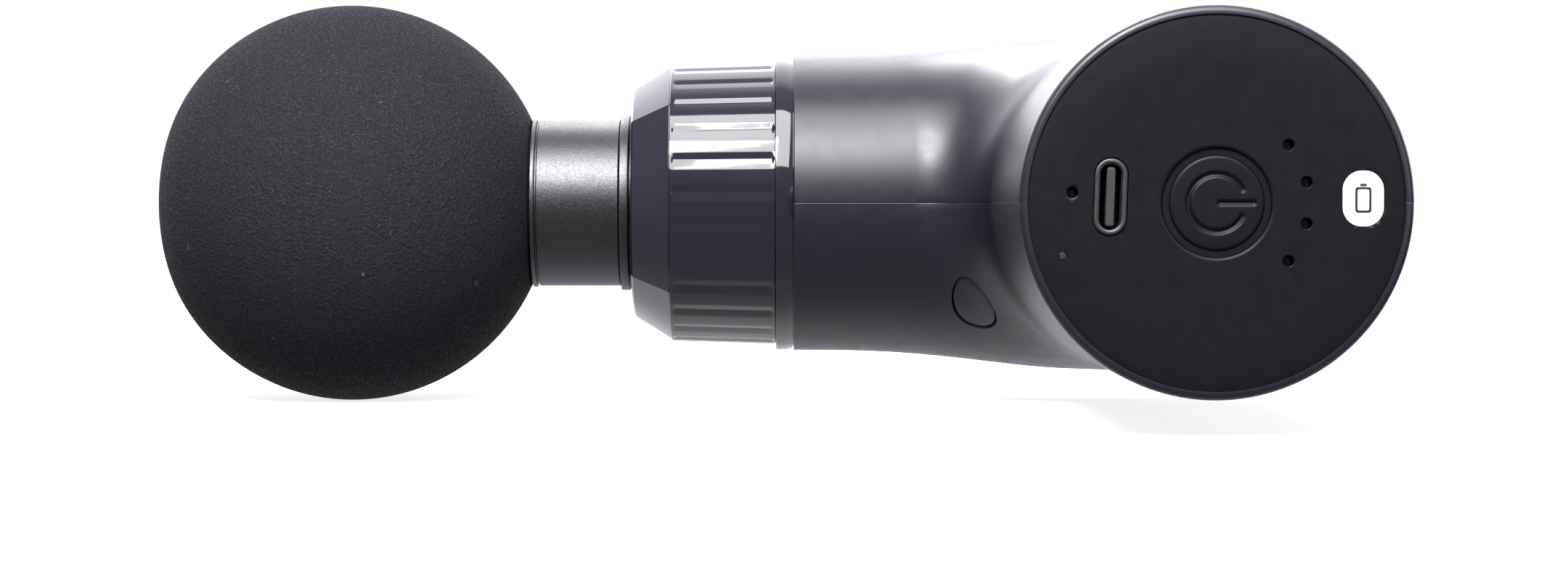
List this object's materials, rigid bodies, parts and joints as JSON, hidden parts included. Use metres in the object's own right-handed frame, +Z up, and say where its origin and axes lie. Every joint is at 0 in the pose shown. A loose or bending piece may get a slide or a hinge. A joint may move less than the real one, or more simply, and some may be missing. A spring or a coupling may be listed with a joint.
{
  "type": "massage gun",
  "caption": "Compact handheld massage gun with an L-shaped casing, round end cap controls and a foam ball head.",
  "frame": {"origin": "centre of the end cap's outer face, on the handle's centre line", "axes": "the gun lies on its side; -Y is the end cap's outward normal, with the handle along +Y; -X points along the barrel to the massage head; +Z is up, square to both"},
  "size_m": [0.1581, 0.1191, 0.0542],
  "materials": {
    "casing_plastic": "satin moulded",
    "cap_plastic": "matte moulded",
    "gloss_trim": "high gloss",
    "foam": "matte closed-cell foam",
    "sleeve_metal": "bead blasted",
    "white_plastic": "satin",
    "light_lens": "translucent",
    "steel": "machined",
    "aluminium": "machined",
    "copper": "enamelled wire",
    "nickel": "rolled strip",
    "circuit_board": "solder mask",
    "cell_sleeve": "shrink sleeve",
    "black_rubber": "matte",
    "red_sleeve": "wire insulation",
    "nylon": "moulded",
    "magnet": "sintered"
  },
  "bodies": {
    "casing": {"upper_shell": "casing_plastic", "lower_shell": "casing_plastic", "end_cap": "cap_plastic", "badge_plate": "white_plastic", "charge_socket_shell": "steel", "charge_socket_tongue": "black_rubber", "level_light_1": "light_lens", "level_light_2": "light_lens", "level_light_3": "light_lens", "level_light_4": "light_lens", "charge_light": "light_lens", "control_board": "circuit_board", "power_switch": "steel", "battery_cell_left": "cell_sleeve", "battery_cell_right": "cell_sleeve", "cell_holder": "nylon", "cell_strip_front": "nickel", "cell_strip_back": "nickel", "protection_board": "circuit_board", "nose_cone": "gloss_trim", "fluted_ring": "gloss_trim", "trim_flange": "gloss_trim", "front_tube": "aluminium", "lip_seal": "black_rubber", "guide_bush": "nylon", "motor_plate": "steel", "stator_hub": "aluminium", "stator_core": "steel", "winding_lower": "copper", "winding_upper": "copper", "motor_bearing_lower": "steel", "motor_bearing_upper": "steel", "casing_screw_1": "steel", "casing_screw_2": "steel", "casing_screw_3": "steel", "screw_plug_1": "casing_plastic", "screw_plug_2": "casing_plastic", "screw_plug_3": "casing_plastic", "motor_screw_1": "steel", "motor_screw_2": "steel", "motor_screw_3": "steel", "battery_lead_positive": "red_sleeve", "battery_lead_negative": "black_rubber", "motor_lead": "black_rubber"},
    "rotor": {"rotor_can": "steel", "magnet_ring": "magnet", "motor_shaft": "steel", "crank_disc": "steel", "crank_pin": "steel"},
    "piston": {"piston": "aluminium", "wrist_pin": "steel"},
    "rod": {"connecting_rod": "aluminium", "rod_bearing": "steel"},
    "head": {"foam_ball": "foam", "head_core": "sleeve_metal", "head_o_ring_1": "black_rubber", "head_o_ring_2": "black_rubber"},
    "button": {"power_button": "cap_plastic"}
  },
  "joints": [
    {"name": "head_stroke", "type": "slide", "parent": "casing", "child": "piston", "axis": [-1, 0, 0], "range_m": [0, 0.007]},
    {"name": "head_release", "type": "slide", "parent": "piston", "child": "head", "axis": [-1, 0, 0], "range_m": [0, 0.022]},
    {"name": "rod_swing", "type": "hinge", "parent": "piston", "child": "rod", "pos_m": [-0.0285, 0.092, 0], "axis": [0, 1, 0], "range_deg": [-6.7, 6.7]},
    {"name": "motor_spin", "type": "hinge", "parent": "casing", "child": "rotor", "pos_m": [-0.002, 0.075, 0], "axis": [0, 1, 0], "continuous": true},
    {"name": "button_press", "type": "slide", "parent": "casing", "child": "button", "axis": [0, 1, 0], "range_m": [0, 0.0005], "stiffness_N_per_m": 3000}
  ]
}
